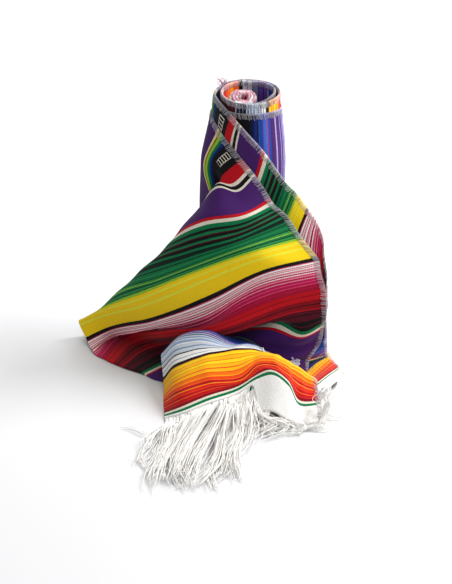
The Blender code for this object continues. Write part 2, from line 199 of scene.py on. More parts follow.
def smooth(t):
    """Zero below 0, one above 1, and 3t^2 - 2t^3 between."""
    t = np.clip(t, 0, 1)
    return t * t * (3 - 2 * t)


def rows_at(grid, at, wanted):
    """Reads grid columns at other distances from the hem, one for each point, by straight interpolation."""
    place = np.clip((wanted - at[0]) / (at[1] - at[0]), 0, len(at) - 1.001)
    low = place.astype(int)
    part = (place - low)[..., None]
    column = np.arange(grid.shape[1])[None, :]
    return grid[low, column] * (1 - part) + grid[low + 1, column] * part


# %% [markdown]
# ## Creases
# A handled cloth keeps soft creases. A crease is a straight line drawn on the flat cloth, and it lifts the
# face along its normal by a bell curve of the distance to that line, fading at both ends. Because it is
# drawn on the cloth and not in space, it follows every bend of the drape.

# %% Creases of the drape and of the end
# Columns: from (across, along), to (across, along), width, height. A height under zero is a trough.
FADE = 0.3  # share of a crease's length over which it fades at each end
DRAPE_CREASES = (
    (60, 330, 250, 372, 16, 1.6),
    (110, 300, 300, 330, 14, -1.5),
    (130, 262, 316, 290, 12, 1.4),
    (200, 236, 318, 252, 8, -1.6),
    (215, 430, 300, 392, 10, -2.0),
    (225, 452, 310, 425, 9, 1.8),
    (90, 400, 190, 440, 18, 1.5),
    (40, 420, 140, 490, 15, -1.8),
    (150, 350, 260, 300, 20, -1.2),
    (30, 560, 250, 575, 14, 1.2),
    (60, 520, 170, 600, 16, -1.3),
    (250, 360, 318, 330, 9, 1.2),
    (-60, 317, 260, 315, 6, 4.0),
    (-60, 298, 260, 302, 9, -13.0),
    (150, 206, 330, 207, 6, -4.5),
    (150, 219, 325, 220, 8, 2.5),
)
END_CREASES = (
    (150, 60, 190, 176, 12, 1.6),
    (190, 30, 215, 150, 9, -1.8),
    (225, 10, 240, 120, 7, 1.6),
    (262, 20, 270, 110, 6, -1.4),
    (60, 40, 75, 150, 15, -1.2),
    (105, 20, 120, 120, 13, 1.2),
    (290, 0, 285, 90, 7, 1.2),
)


def crease_height(across, along, creases):
    """Sum over creases of height * exp(-(distance / width)^2), fading to nothing at both ends."""
    total = np.zeros(np.broadcast(across, along).shape)
    for x0, y0, x1, y1, width, height in creases:
        way = np.array([x1 - x0, y1 - y0], float)
        length = np.linalg.norm(way)
        way /= length
        t = ((across - x0) * way[0] + (along - y0) * way[1]) / length
        off = np.abs((across - x0) * -way[1] + (along - y0) * way[0])
        fade = smooth(t / FADE) * smooth((1 - t) / FADE)
        total += height * fade * np.exp(-((off / width) ** 2))
    return total


print("creases:", len(DRAPE_CREASES), "and", len(END_CREASES))

# %% [markdown]
# ## Two layers from one face
# The folded strip is a single sheet bent at the fold, so each piece is one grid: across it, the columns run
# from the back layer's serged edge, under the front layer to the fold, round it, and out to the front
# layer's edge. A Solidify modifier then gives the sheet its thickness.

# %% From a face to a folded sheet
FOLD_POINTS = 5
MARGIN_POINTS = 9
MARGIN_BOW = 1.5
DRAWN_BACK = 24.0  # how far the front hem is pulled back from the fold to the swoop
SWOOP = (163.0, 190.0)  # where across the strip the front hem swoops out again
SLIPPED = 15.0  # the back layer's stripes show below the front hem between these two distances
SLIP = ((95.0, 120.0), (185.0, 215.0))


def ramp(value, low, high):
    return smooth((value - low) / (high - low))


def folded(face, edge, at, creases, hem):
    """Grid of the folded sheet, with each point's stripe position, its distance across and from its edge.

    The front layer is the face moved in by half a layer, the back one by a layer and a half and the gap.
    The margin is a straight line to the back edge with a sine bow. The stripe position is the distance from
    the hem, less a skew on the back layer that grows with the cube of the distance from the fold.
    """
    columns = face.shape[1]
    across = np.linspace(0, FRONT_WIDTH, columns)
    face = face + normals_of(face) * crease_height(across[None, :], at[:, None], creases)[..., None]
    out = normals_of(face)
    front = face - out * (LAYER / 2)
    back = face - out * (1.5 * LAYER + LAYER_GAP)
    sunk = np.minimum(back[..., 2] - SHEET / 2, 0)
    front[..., 2] -= sunk
    back[..., 2] -= sunk
    reach = edge - back[:, -1]
    side = unit(np.cross(np.gradient(edge, axis=0), reach))
    side *= np.sign((side * out[:, -1]).sum(-1, keepdims=True))
    t = (np.arange(MARGIN_POINTS) + 1) / MARGIN_POINTS
    margin = back[:, -1:] + (edge - side * LAYER / 2 - back[:, -1])[:, None] * t[None, :, None]
    margin += side[:, None] * (MARGIN_BOW * np.sin(math.pi * t))[None, :, None]
    margin[..., 2] = np.maximum(margin[..., 2], SHEET / 2)
    behind = np.concatenate([back, margin], axis=1)
    behind_across = np.r_[across, FRONT_WIDTH + MARGIN * t]
    late = (SKEW + END_SKEW * (1 - ramp(at, 160, 240)))[:, None]
    skew = late * (behind_across / BACK_WIDTH)[None, :] ** 3
    place = np.repeat(at[:, None], len(behind_across), axis=1)
    front_place = np.repeat(at[:, None], columns, axis=1)
    stripes = place - skew
    if hem:
        near_hem = (1 - ramp(at, -HEADING, 70 - HEADING))[:, None]
        place = place + skew * (1 - ramp(at, -HEADING, 110 - HEADING))[:, None]
        place += DRAWN_BACK * near_hem * (1 - ramp(behind_across, 0, 60))[None, :]
        front_place += DRAWN_BACK * near_hem * (1 - ramp(across, *SWOOP))[None, :]
        behind = rows_at(behind, at, place)
        front = rows_at(front, at, front_place)
        stripes = place - skew + SLIPPED * (ramp(behind_across, *SLIP[0]) - ramp(behind_across, *SLIP[1]))
    middle = (front[:, 0] + behind[:, 0]) / 2
    half = np.linalg.norm(front[:, 0] - behind[:, 0], axis=-1)[:, None] / 2
    outwards = unit(face[:, 0] - face[:, 1])
    upwards = unit(front[:, 0] - behind[:, 0])
    turn = math.pi * (np.arange(FOLD_POINTS) + 1) / (FOLD_POINTS + 1)
    fold = [middle + outwards * half * np.sin(a) - upwards * half * np.cos(a) for a in turn]
    grid = np.concatenate([behind[:, ::-1], np.stack(fold, axis=1), front], axis=1)
    grid[..., 2] = np.maximum(grid[..., 2], SHEET / 2)
    at_fold = np.repeat(front_place[:, :1], FOLD_POINTS, axis=1)
    position = np.concatenate([stripes[:, ::-1], at_fold, front_place], axis=1)
    warp = np.r_[-behind_across[::-1], np.zeros(FOLD_POINTS), across]
    warp = np.repeat(warp[None, :], len(at), axis=0)
    from_edge = np.where(warp < 0, BACK_WIDTH + warp, FRONT_WIDTH - warp)
    return grid, position, warp, from_edge


# %% Writing a grid as a mesh
def mesh_object(name, points, faces, values=(), finish=None):
    """A smooth mesh object at the origin. points are in millimetres and values are named point attributes."""
    mesh = bpy.data.meshes.new(name)
    mesh.from_pydata((points * MM).tolist(), [], list(faces))
    for key, value in values:
        numbers = np.ravel(value).astype(np.float32)
        mesh.attributes.new(key, "FLOAT", "POINT").data.foreach_set("value", numbers)
    mesh.shade_smooth()
    if finish:
        mesh.materials.append(finish)
    made = bpy.data.objects.new(name, mesh)
    scene.collection.objects.link(made)
    return made


def grid_faces(rows, columns, round_it=False):
    """Four-cornered faces of a grid, counted row by row; round_it joins the last column to the first."""
    j = np.arange(rows - 1)[:, None]
    i = np.arange(columns if round_it else columns - 1)[None, :]
    k = (i + 1) % columns
    corners = [j * columns + i, j * columns + k, (j + 1) * columns + k, (j + 1) * columns + i]
    return np.stack(np.broadcast_arrays(*corners), axis=-1).reshape(-1, 4)


def cloth_piece(name, sheet, finish):
    grid, position, warp, from_edge = sheet
    values = (("along", position), ("across", warp), ("from_edge", from_edge))
    piece = mesh_object(name, grid.reshape(-1, 3), grid_faces(*grid.shape[:2]).tolist(), values, finish)
    thickness = piece.modifiers.new("thickness", "SOLIDIFY")
    thickness.thickness = SHEET * MM
    thickness.offset = 0
    print(name, "grid", grid.shape[:2])
    return piece


# %% [markdown]
# ## The stripes
# Each stripe is a run of coloured weft, so it lies at one distance from the hem. The chart lists where each
# colour starts. A colour ramp holds at most 32 colours, so the chart is cut into several ramps, and the
# position picks the ramp. Reading the position from the mesh keeps every stripe on the cloth as it bends.

# %% Dye colours
DYES = {
    "white": (236, 234, 230), "cream": (222, 214, 198), "mist": (196, 206, 218), "pale_blue": (142, 168, 206),
    "grey_blue": (104, 126, 166), "sky": (62, 100, 184), "violet": (84, 66, 160), "blue": (22, 66, 158),
    "deep_blue": (16, 40, 112), "navy": (14, 20, 58), "black": (14, 12, 16), "soot": (38, 30, 36),
    "purple": (66, 28, 96), "plum": (42, 16, 60), "lilac": (160, 148, 204),
    "deep_red": (128, 6, 22), "red": (186, 14, 26), "scarlet": (214, 34, 22), "flame": (228, 66, 18),
    "orange": (238, 108, 14), "amber": (244, 146, 16), "gold": (246, 176, 20), "yellow": (240, 204, 22),
    "lemon": (222, 224, 66), "lime": (140, 190, 50), "leaf": (40, 136, 70), "green": (6, 112, 66),
    "forest": (6, 66, 42), "pine": (8, 32, 26), "wine": (78, 8, 26), "crimson": (158, 10, 46),
    "magenta": (178, 14, 74), "rose": (206, 66, 108), "pink": (222, 140, 158), "blush": (232, 196, 200),
    "brown": (104, 56, 36),
}


def linear(colour):
    """The linear value of an sRGB colour out of 255: ((c + 0.055) / 1.055)^2.4, or c / 12.92 when dark."""
    c = np.array(colour) / 255
    return (*np.where(c > 0.04045, ((c + 0.055) / 1.055) ** 2.4, c / 12.92), 1.0)


print("dyes:", len(DYES))


# %% The stripe chart
def bands(start, stop, pairs, line=1.3):
    """Bands of equal width from start to stop, each closed by a thin line of its second colour."""
    width = (stop - start) / len(pairs)
    chart = []
    for number, (band, edge) in enumerate(pairs):
        chart += [(start + number * width, band), (start + (number + 1) * width - line, edge)]
    return chart


WARM = (("deep_red", "scarlet"), ("red", "orange"), ("red", "flame"), ("scarlet", "gold"), ("red", "orange"),
        ("flame", "gold"), ("orange", "scarlet"), ("gold", "flame"), ("gold", "orange"), ("yellow", "flame"),
        ("gold", "orange"), ("yellow", "amber"))
COOL = (("white", "grey_blue"), ("white", "soot"), ("mist", "grey_blue"), ("mist", "white"),
        ("pale_blue", "white"), ("pale_blue", "white"), ("grey_blue", "white"), ("violet", "white"),
        ("violet", "lilac"))
BLUES = (("violet", "sky"), ("blue", "deep_blue"), ("blue", "deep_blue"), ("deep_blue", "navy"),
         ("navy", "black"))
REDS = (("black", "wine"), ("black", "wine"), ("wine", "black"), ("wine", "red"), ("deep_red", "black"),
        ("deep_red", "red"), ("red", "deep_red"), ("red", "crimson"))
PINKS = (("crimson", "magenta"), ("crimson", "rose"), ("magenta", "rose"), ("magenta", "pink"),
         ("magenta", "pink"), ("rose", "white"), ("magenta", "white"), ("pink", "magenta"),
         ("white", "rose"), ("blush", "magenta"), ("white", "rose"))
GREENS = (("lime", "forest"), ("leaf", "black"), ("green", "lime"), ("leaf", "black"), ("green", "leaf"),
          ("green", "black"), ("green", "pine"), ("pine", "black"), ("green", "black"), ("black", "wine"),
          ("green", "black"), ("black", "wine"), ("green", "pine"), ("black", "green"))
CHART = [
    (-60, "white"), (0, "green"), (4, "cream"), *bands(8, 92, WARM), (92, "black"),
    *bands(97, 144, COOL), *bands(144, 177, BLUES), (177, "green"), (181, "cream"), (185, "red"),
    # From 242 to 290 the drape lies under its overhanging lip: there the black and wine of REDS are the
    # cloth's dark stripes made to dominate, partly painted shade.
    (190, "purple"), (229, "red"), (232, "cream"), (237, "green"), *bands(242, 290, REDS),
    *bands(290, 335, PINKS), (335, "black"), (340, "yellow"), (351, "lemon"), (352.5, "yellow"),
    (357, "lemon"), (358.5, "yellow"),
    *bands(362, 426, GREENS), (426, "green"), (431, "cream"), (437, "red"), (442, "purple"),
    (476, "cream"), (479, "black"), (484, "cream"), (487, "red"), (500, "black"), (524, "navy"),
    (527, "deep_blue"), (531, "green"), (536, "lime"), (541, "brown"), (543.5, "yellow"), (546, "cream"),
    (548, "purple"), (603, "plum"),
]
print("stripes in the drawn-out length:", len(CHART))

# %% [markdown]
# The roll shows two more stretches of the same cloth: the front layer's outer face below the rim, and the
# back layer's inner face and rim above it. They carry on the chart further along the strip. The back layer's
# positions on the roll are written 1000 mm further on, so that one chart can hold both.

# %% Stripes of the roll
BACK_OFFSET = 1000.0
ROLL_CHART = [
    (625, "purple"), (652, "red"), (656, "cream"), (661, "green"), *bands(666, 700, GREENS[3:8]),
    # The pale bands from 700 to 739 and the lilac lines at 744 and 753 lie on the roll's right side, where
    # the key light falls: the lilac lines are painted highlight, and the pale bands are cool stripes made
    # paler as painted highlight.
    *bands(700, 739, COOL[3:9]), (739, "purple"), (744, "lilac"), (745.2, "purple"), (753, "lilac"),
    (755.5, "purple"),
    (764, "blue"), (767.5, "magenta"), (769, "sky"), (774.5, "violet"), (776, "blue"), (781, "sky"),
    (782, "black"), (783.5, "deep_blue"), (788, "navy"), (793, "black"), (835, "wine"),
    *bands(845, 900, REDS[2:]), *bands(900, 960, PINKS), (960, "plum"),
    *bands(1100, 1160, PINKS), (1160, "crimson"), *bands(1250, 1330, PINKS[:6]),
    (BACK_OFFSET + 600, "wine"),
    *bands(BACK_OFFSET + 650, BACK_OFFSET + 720, (("wine", "plum"), ("wine", "crimson"))),
    (BACK_OFFSET + 720, "crimson"), (BACK_OFFSET + 728, "red"), (BACK_OFFSET + 734, "flame"),
    *bands(BACK_OFFSET + 738, BACK_OFFSET + 764, WARM[6:]), (BACK_OFFSET + 764, "black"),
    *bands(BACK_OFFSET + 769.5, BACK_OFFSET + 799, COOL[:7]),
    *bands(BACK_OFFSET + 799, BACK_OFFSET + 815,
           (("soot", "grey_blue"), ("black", "grey_blue"), ("soot", "mist"))),
    *bands(BACK_OFFSET + 815, BACK_OFFSET + 850, (("wine", "black"), ("wine", "black"), ("wine", "soot"))),
    (BACK_OFFSET + 850, "deep_red"), (BACK_OFFSET + 868, "red"), (BACK_OFFSET + 885, "flame"),
    (BACK_OFFSET + 890, "orange"), (BACK_OFFSET + 896, "amber"), (BACK_OFFSET + 902, "flame"),
    (BACK_OFFSET + 905, "orange"), (BACK_OFFSET + 912, "black"),
    *bands(BACK_OFFSET + 918, BACK_OFFSET + 935, (("mist", "grey_blue"), ("mist", "soot"))),
    *bands(BACK_OFFSET + 935, BACK_OFFSET + 962,
           (("grey_blue", "navy"), ("violet", "navy"), ("violet", "mist"))),
    *bands(BACK_OFFSET + 962, BACK_OFFSET + 1000, (("blue", "navy"), ("navy", "black"), ("black", "plum"))),
    (BACK_OFFSET + 1000, "plum"), (BACK_OFFSET + 1060, "wine"),
    *bands(BACK_OFFSET + 1080, BACK_OFFSET + 1200, PINKS), (BACK_OFFSET + 1200, "rose"),
    *bands(BACK_OFFSET + 1230, BACK_OFFSET + 1400, PINKS[::-1]),
]
CHART += ROLL_CHART
print("stripes in all:", len(CHART))


# %% [markdown]
# ## The woven finish
# A weft-faced weave hides its warp, yet the warp shows as fine ribs that run the length of the strip, and
# the weft crosses them in short dashes. The colour comes from the chart, with the edges of each stripe
# toothed by the ribs; the ribs and dashes are bump, because each is under a millimetre wide, and the hollows
# between the ribs are also darkened in the colour, as painted shade. Wool and acrylic weft scatters light at
# a grazing angle, which the sheen of the shader gives.

# %% Node helpers
def add_node(tree, kind, **settings):
    made = tree.nodes.new(kind)
    for key, value in settings.items():
        setattr(made, key, value)
    return made


def link_or_set(tree, socket, value):
    if isinstance(value, bpy.types.NodeSocket):
        tree.links.new(value, socket)
    else:
        socket.default_value = value


def calc(tree, operation, *values):
    """One Math node; each value is a number or another node's output."""
    made = add_node(tree, "ShaderNodeMath", operation=operation)
    for socket, value in zip(made.inputs, values):
        link_or_set(tree, socket, value)
    return made.outputs[0]


def mix(tree, factor, first, second):
    made = add_node(tree, "ShaderNodeMix", data_type="RGBA")
    link_or_set(tree, made.inputs["Factor"], factor)
    link_or_set(tree, made.inputs[6], first)
    link_or_set(tree, made.inputs[7], second)
    return made.outputs[2]


def attribute(tree, name):
    return add_node(tree, "ShaderNodeAttribute", attribute_name=name).outputs["Fac"]


def noise(tree, vector, scale, detail=2.0):
    made = add_node(tree, "ShaderNodeTexNoise")
    made.inputs["Scale"].default_value = scale
    made.inputs["Detail"].default_value = detail
    tree.links.new(vector, made.inputs["Vector"])
    return made.outputs["Fac"]


def between(tree, value, low, high):
    """One where low < value < high, and zero elsewhere."""
    above, below = calc(tree, "GREATER_THAN", value, low), calc(tree, "LESS_THAN", value, high)
    return calc(tree, "MULTIPLY", above, below)


# %% The chart as colour ramps
RAMP_STOPS = 30


def chart_colour(tree, position):
    """The chart's colour at a position, from ramps of constant steps; the last ramp that has begun holds."""
    colour = None
    for first in range(0, len(CHART), RAMP_STOPS):
        rows = CHART[first : first + RAMP_STOPS]
        low, high = rows[0][0], rows[-1][0] + 1
        made = add_node(tree, "ShaderNodeValToRGB")
        made.color_ramp.interpolation = "CONSTANT"
        stops = made.color_ramp.elements
        stops.remove(stops[1])
        stops[0].position = 0
        stops[0].color = linear(DYES[rows[0][1]])
        for start, dye in rows[1:]:
            stops.new((start - low) / (high - low)).color = linear(DYES[dye])
        share = calc(tree, "DIVIDE", calc(tree, "SUBTRACT", position, low), high - low)
        tree.links.new(share, made.inputs["Fac"])
        begun = calc(tree, "GREATER_THAN", position, low)
        colour = made.outputs["Color"] if colour is None else mix(tree, begun, colour, made.outputs["Color"])
    return colour


# %% The woven material
RIB = 2.4  # across the strip, from one warp rib to the next
DASH = 1.1  # along the strip, from one weft to the next
LADDER = (508.0, 517.5)  # a small white ladder woven into the black stripe by the edge
LADDER_ENDS = (9.0, 29.0)  # its distances from the serged edge
RAIL, RUNG, RUNG_STEP = 0.8, 1.1, 3.9
SERGED = 6.5  # width of the overlocked band


def ladder_mask(tree, position, from_edge):
    """Two rails and the rungs between them, where the position and the distance from the edge allow."""
    low, high = LADDER
    near, far = LADDER_ENDS
    inside = calc(tree, "MULTIPLY", between(tree, position, low, high), between(tree, from_edge, near, far))
    lower, upper = between(tree, position, low, low + RAIL), between(tree, position, high - RAIL, high)
    rails = calc(tree, "MAXIMUM", lower, upper)
    beat = calc(tree, "MODULO", calc(tree, "SUBTRACT", from_edge, near), RUNG_STEP)
    rungs = calc(tree, "LESS_THAN", beat, RUNG)
    return calc(tree, "MULTIPLY", inside, calc(tree, "MAXIMUM", rails, rungs))


def woven():
    made = bpy.data.materials.new("striped_weave")
    made.use_nodes = True
    tree = made.node_tree
    shader = tree.nodes["Principled BSDF"]
    position, warp = attribute(tree, "along"), attribute(tree, "across")
    from_edge = attribute(tree, "from_edge")
    cloth = add_node(tree, "ShaderNodeCombineXYZ")
    tree.links.new(warp, cloth.inputs[0])
    tree.links.new(position, cloth.inputs[1])
    cloth = cloth.outputs[0]
    fuzz = calc(tree, "SUBTRACT", noise(tree, cloth, 0.8, 3.0), 0.5)
    toothed = calc(tree, "ADD", position, calc(tree, "MULTIPLY", fuzz, 1.2))
    colour = chart_colour(tree, toothed)
    colour = mix(tree, ladder_mask(tree, toothed, from_edge), colour, linear(DYES["cream"]))
    rib = calc(tree, "SINE", calc(tree, "MULTIPLY", warp, math.tau / RIB))
    dash = calc(tree, "SINE", calc(tree, "MULTIPLY", position, math.tau / DASH))
    # painted shade: the hollows between the warp ribs are darkened by up to 0.2
    painted_hollow_shade = calc(tree, "MULTIPLY", calc(tree, "SUBTRACT", 1.0, rib), 0.10)
    mottled = calc(tree, "MULTIPLY", noise(tree, cloth, 0.35, 4.0), 0.16)
    # the colour is multiplied by this: random mottling together with the painted shade of the rib hollows
    mottle_and_shade = calc(tree, "MULTIPLY_ADD", calc(tree, "ADD", painted_hollow_shade, mottled), -1.0, 1.12)
    tone = add_node(tree, "ShaderNodeCombineColor")
    for socket in tone.inputs:
        tree.links.new(mottle_and_shade, socket)
    shaded = add_node(tree, "ShaderNodeMix", data_type="RGBA", blend_type="MULTIPLY")
    shaded.inputs["Factor"].default_value = 1.0
    tree.links.new(colour, shaded.inputs[6])
    tree.links.new(tone.outputs[0], shaded.inputs[7])
    tree.links.new(shaded.outputs[2], shader.inputs["Base Color"])
    height = calc(tree, "ADD", calc(tree, "MULTIPLY", rib, 0.5), calc(tree, "MULTIPLY", dash, 0.3))
    height = calc(tree, "ADD", height, calc(tree, "MULTIPLY", fuzz, 1.6))
    bump = add_node(tree, "ShaderNodeBump")
    bump.inputs["Strength"].default_value = 0.35
    bump.inputs["Distance"].default_value = 0.0006
    tree.links.new(height, bump.inputs["Height"])
    tree.links.new(bump.outputs[0], shader.inputs["Normal"])
    shader.inputs["Roughness"].default_value = 0.88
    shader.inputs["Sheen Weight"].default_value = 0.08
    shader.inputs["Sheen Roughness"].default_value = 0.5
    shader.inputs["Specular IOR Level"].default_value = 0.12
    return made


striped_weave = woven()
print("nodes in the weave:", len(striped_weave.node_tree.nodes))

# %% [markdown]
# ## The drape and the end
# These are the two stretches that lie open: the drape leaves the roll, stands on its fold as a tent and rolls
# over, and the end lies on the floor with its hem lifted in a wave.

# %% Make the drape and the end
DRAPE_COLUMNS, DRAPE_STEP = 110, 3.1
END_COLUMNS, END_STEP = 110, 2.4

TUCK = (226, *DRAPE[-1][1:])  # behind its crest the end goes down to the drape's last section
drape_sheet = folded(*face_of(DRAPE, DRAPE_COLUMNS, DRAPE_STEP), DRAPE_CREASES, hem=False)
end_sheet = folded(*face_of((TUCK, *END), END_COLUMNS, END_STEP), END_CREASES, hem=True)
drape = cloth_piece("draped_serape", drape_sheet, striped_weave)
end = cloth_piece("end_serape", end_sheet, striped_weave)

# %% [markdown]
# ## The roll
# The wound part is the same folded sheet carried along a spiral. The radius shrinks by one pitch a turn,
# with extra room inside the outermost turn, where the core has slipped down and over to the left.

# %% Sizes of the roll
ROLL_TURNS = 5.2
TURN_STEPS = 88
ROLL_END_ANGLE = math.radians(97)
SEAM = math.radians(4)  # the last step tucks this far under the drape
ROLL_OUTER = 46.6
TURN_PITCH = 4.45
LOOSE_TURN, LOOSE_FROM, LOOSE_OVER = 17.0, 1.2, 0.55
CORE_DROP, DROP_FROM, DROP_OVER = 5.5, 1.2, 0.5
CORE_SHIFT, SHIFT_FROM, SHIFT_OVER = 7.5, 1.2, 0.5
RIM_WAVE, RIM_WAVES = 0.5, 5
RIM_TILT = 6.0  # the back layer has slipped this much lower at the front, and the front layer higher
NECK_X, NECK_Y, NECK_DEPTH = 0.16, 0.07, 90.0  # how much narrower the roll is at its rim
ROLL_START = DRAPE[0][0]


def roll_sheet():
    """The folded sheet on a spiral: x = m + r cos a and y = r sin a, with z the distance from the fold."""
    angle = ROLL_END_ANGLE - math.tau * ROLL_TURNS * np.linspace(0, 1, round(ROLL_TURNS * TURN_STEPS) + 1)
    turns = (ROLL_END_ANGLE - angle) / math.tau
    outer = ROLL_OUTER - TURN_PITCH * turns - LOOSE_TURN * np.clip((turns - LOOSE_FROM) / LOOSE_OVER, 0, 1)
    drop = CORE_DROP * np.clip((turns - DROP_FROM) / DROP_OVER, 0, 1)
    drop += RIM_WAVE * (1 + np.sin(RIM_WAVES * angle)) * (turns > 1)
    tilt = RIM_TILT * (1 - np.sin(angle)) / 2
    middle = -CORE_SHIFT * np.clip((turns - SHIFT_FROM) / SHIFT_OVER, 0, 1)
    run = run_of(np.stack([outer * np.cos(angle), outer * np.sin(angle)], axis=-1))
    position = ROLL_START + run
    seam = np.where(np.arange(len(angle)) == 0, SEAM, 0.0)
    angle = angle + seam
    outer = outer - 0.6 * (seam > 0)

    def neck(radius, height):
        """Points at a radius and a height, with the spiral narrowed towards its rim."""
        near_rim = ramp(height, BACK_WIDTH - NECK_DEPTH, BACK_WIDTH)
        x = middle[:, None] + radius * (1 - NECK_X * near_rim) * np.cos(angle)[:, None]
        y = radius * (1 - NECK_Y * near_rim) * np.sin(angle)[:, None]
        return np.stack([x, y, height], axis=-1)

    def wall(radius, across, lower):
        """A wall of the spiral: a grid whose columns stand at the distances across from the fold."""
        height = across[None, :] - lower[:, None] * ramp(across, 60, 260)[None, :]
        ripple = 0.35 * np.sin(3 * angle[:, None] + 0.02 * height) * smooth(height / 80)
        return neck(radius[:, None] + ripple, height)

    low = np.array([6.0, 60.0, 130.0, 200.0, 255.0])
    front_across = np.r_[low, np.linspace(275, FRONT_WIDTH, 13)]
    back_across = np.r_[low, np.linspace(275, BACK_WIDTH, 19)]
    front_radius = outer - LAYER / 2
    back_radius = outer - 1.5 * LAYER - LAYER_GAP
    front = wall(front_radius, front_across, drop - tilt)
    back = wall(back_radius, back_across, drop + tilt)
    half = (front_radius - back_radius) / 2
    centre = (front_radius + back_radius) / 2
    fold = []
    for a in math.pi * (np.arange(FOLD_POINTS) + 1) / (FOLD_POINTS + 1):
        height = SHEET / 2 + half * (1 - np.sin(a))
        fold.append(neck((centre - half * np.cos(a))[:, None], height[:, None])[:, 0])
    grid = np.concatenate([back[:, ::-1], np.stack(fold, axis=1), front], axis=1)
    warp = np.r_[-back_across[::-1], np.zeros(FOLD_POINTS), front_across]
    warp = np.repeat(warp[None, :], len(angle), axis=0)
    stripes = position[:, None] + np.where(warp < 0, BACK_OFFSET, 0.0)
    from_edge = np.where(warp < 0, BACK_WIDTH + warp, FRONT_WIDTH - warp)
    return (grid[::-1], stripes[::-1], warp[::-1], from_edge[::-1]), run[-1]


rolled_sheet, rolled_length = roll_sheet()
roll = cloth_piece("rolled_serape", rolled_sheet, striped_weave)
print("length in the roll, mm:", round(rolled_length))

# %% [markdown]
# ## Overlocked edges
# Both long edges are serged: thread wraps the raw edge in close slanting loops. Each stitch is a short tube
# that lies on the outer face, turns over the edge and comes back underneath. All stitches of an edge are
# computed at once, as an array of paths, and become one mesh.

# %% Tubes from many paths at once
def tubes(name, paths, side, radius, tone, corners, finish, stripe=None):
    """One mesh of closed tubes: paths is [tube, point, xyz], side runs across each, radius is per point."""
    count, points = paths.shape[:2]
    tangent = unit(np.gradient(paths, axis=1))
    up = unit(np.cross(tangent, side))
    side = np.cross(up, tangent)
    a = math.tau * np.arange(corners) / corners
    ring = side[:, :, None] * np.cos(a)[:, None] + up[:, :, None] * np.sin(a)[:, None]
    verts = paths[:, :, None] + ring * radius[:, :, None, None]
    one = grid_faces(points, corners, round_it=True)[:, ::-1]
    first = (np.arange(count) * points * corners)[:, None]
    walls = (one[None] + first[..., None]).reshape(-1, 4)
    starts = first + np.arange(corners)
    ends = (first + (points - 1) * corners + np.arange(corners))[:, ::-1]
    facts = {"tone": tone[:, None], "share": np.linspace(0, 1, points)[None, :]}
    if stripe is not None:
        facts["along"] = stripe[:, None]
    shape = (count, points, corners)
    values = [(key, np.broadcast_to(fact[..., None], shape)) for key, fact in facts.items()]
    faces = [*walls.tolist(), *starts.tolist(), *ends.tolist()]
    return mesh_object(name, verts.reshape(-1, 3), faces, values, finish)


def thread_material(name, light, dark, roughness, bump_scale, rim=0.0, tint=0.0):
    """Spun thread: each strand between dark and light, lighter by rim in the middle of its run. That
    lightening is a painted highlight, where a stitch turns over the cloth's edge and where a loose loop
    rises.

    tint is the share of the cloth's own colour that comes through, read from the chart.
    """
    made = bpy.data.materials.new(name)
    made.use_nodes = True
    tree = made.node_tree
    shader = tree.nodes["Principled BSDF"]
    place = add_node(tree, "ShaderNodeTexCoord").outputs["Object"]
    fibres = noise(tree, place, bump_scale, 3.0)
    blend = calc(tree, "MULTIPLY_ADD", calc(tree, "SUBTRACT", fibres, 0.5), 0.5, attribute(tree, "tone"))
    # painted highlight: the middle of each run is made lighter by rim
    blend = calc(tree, "MULTIPLY_ADD", between(tree, attribute(tree, "share"), 0.3, 0.7), rim, blend)
    colour = mix(tree, blend, linear(dark), linear(light))
    if tint:
        colour = mix(tree, tint, colour, chart_colour(tree, attribute(tree, "along")))
    tree.links.new(colour, shader.inputs["Base Color"])
    bump = add_node(tree, "ShaderNodeBump")
    bump.inputs["Strength"].default_value = 0.3
    bump.inputs["Distance"].default_value = 0.0004
    tree.links.new(fibres, bump.inputs["Height"])
    tree.links.new(bump.outputs[0], shader.inputs["Normal"])
    shader.inputs["Roughness"].default_value = roughness
    shader.inputs["Sheen Weight"].default_value = 0.2
    shader.inputs["Specular IOR Level"].default_value = 0.3
    return made


EDGE_TINT = 0.42
# rim=0.5 paints a highlight where each stitch turns over the edge and on top of each loose loop
edge_thread = thread_material(
    "edge_thread", (236, 232, 238), (92, 82, 98), 0.75, 2500.0, rim=0.5, tint=EDGE_TINT
)
white_yarn = thread_material("white_yarn", (250, 249, 246), (206, 202, 196), 0.8, 1800.0)
print("threads ready")

# %% Serging along an edge
STITCH_STEP = 1.45
THREAD = 0.34  # radius of the thread
STITCH_SLANT = 2.4


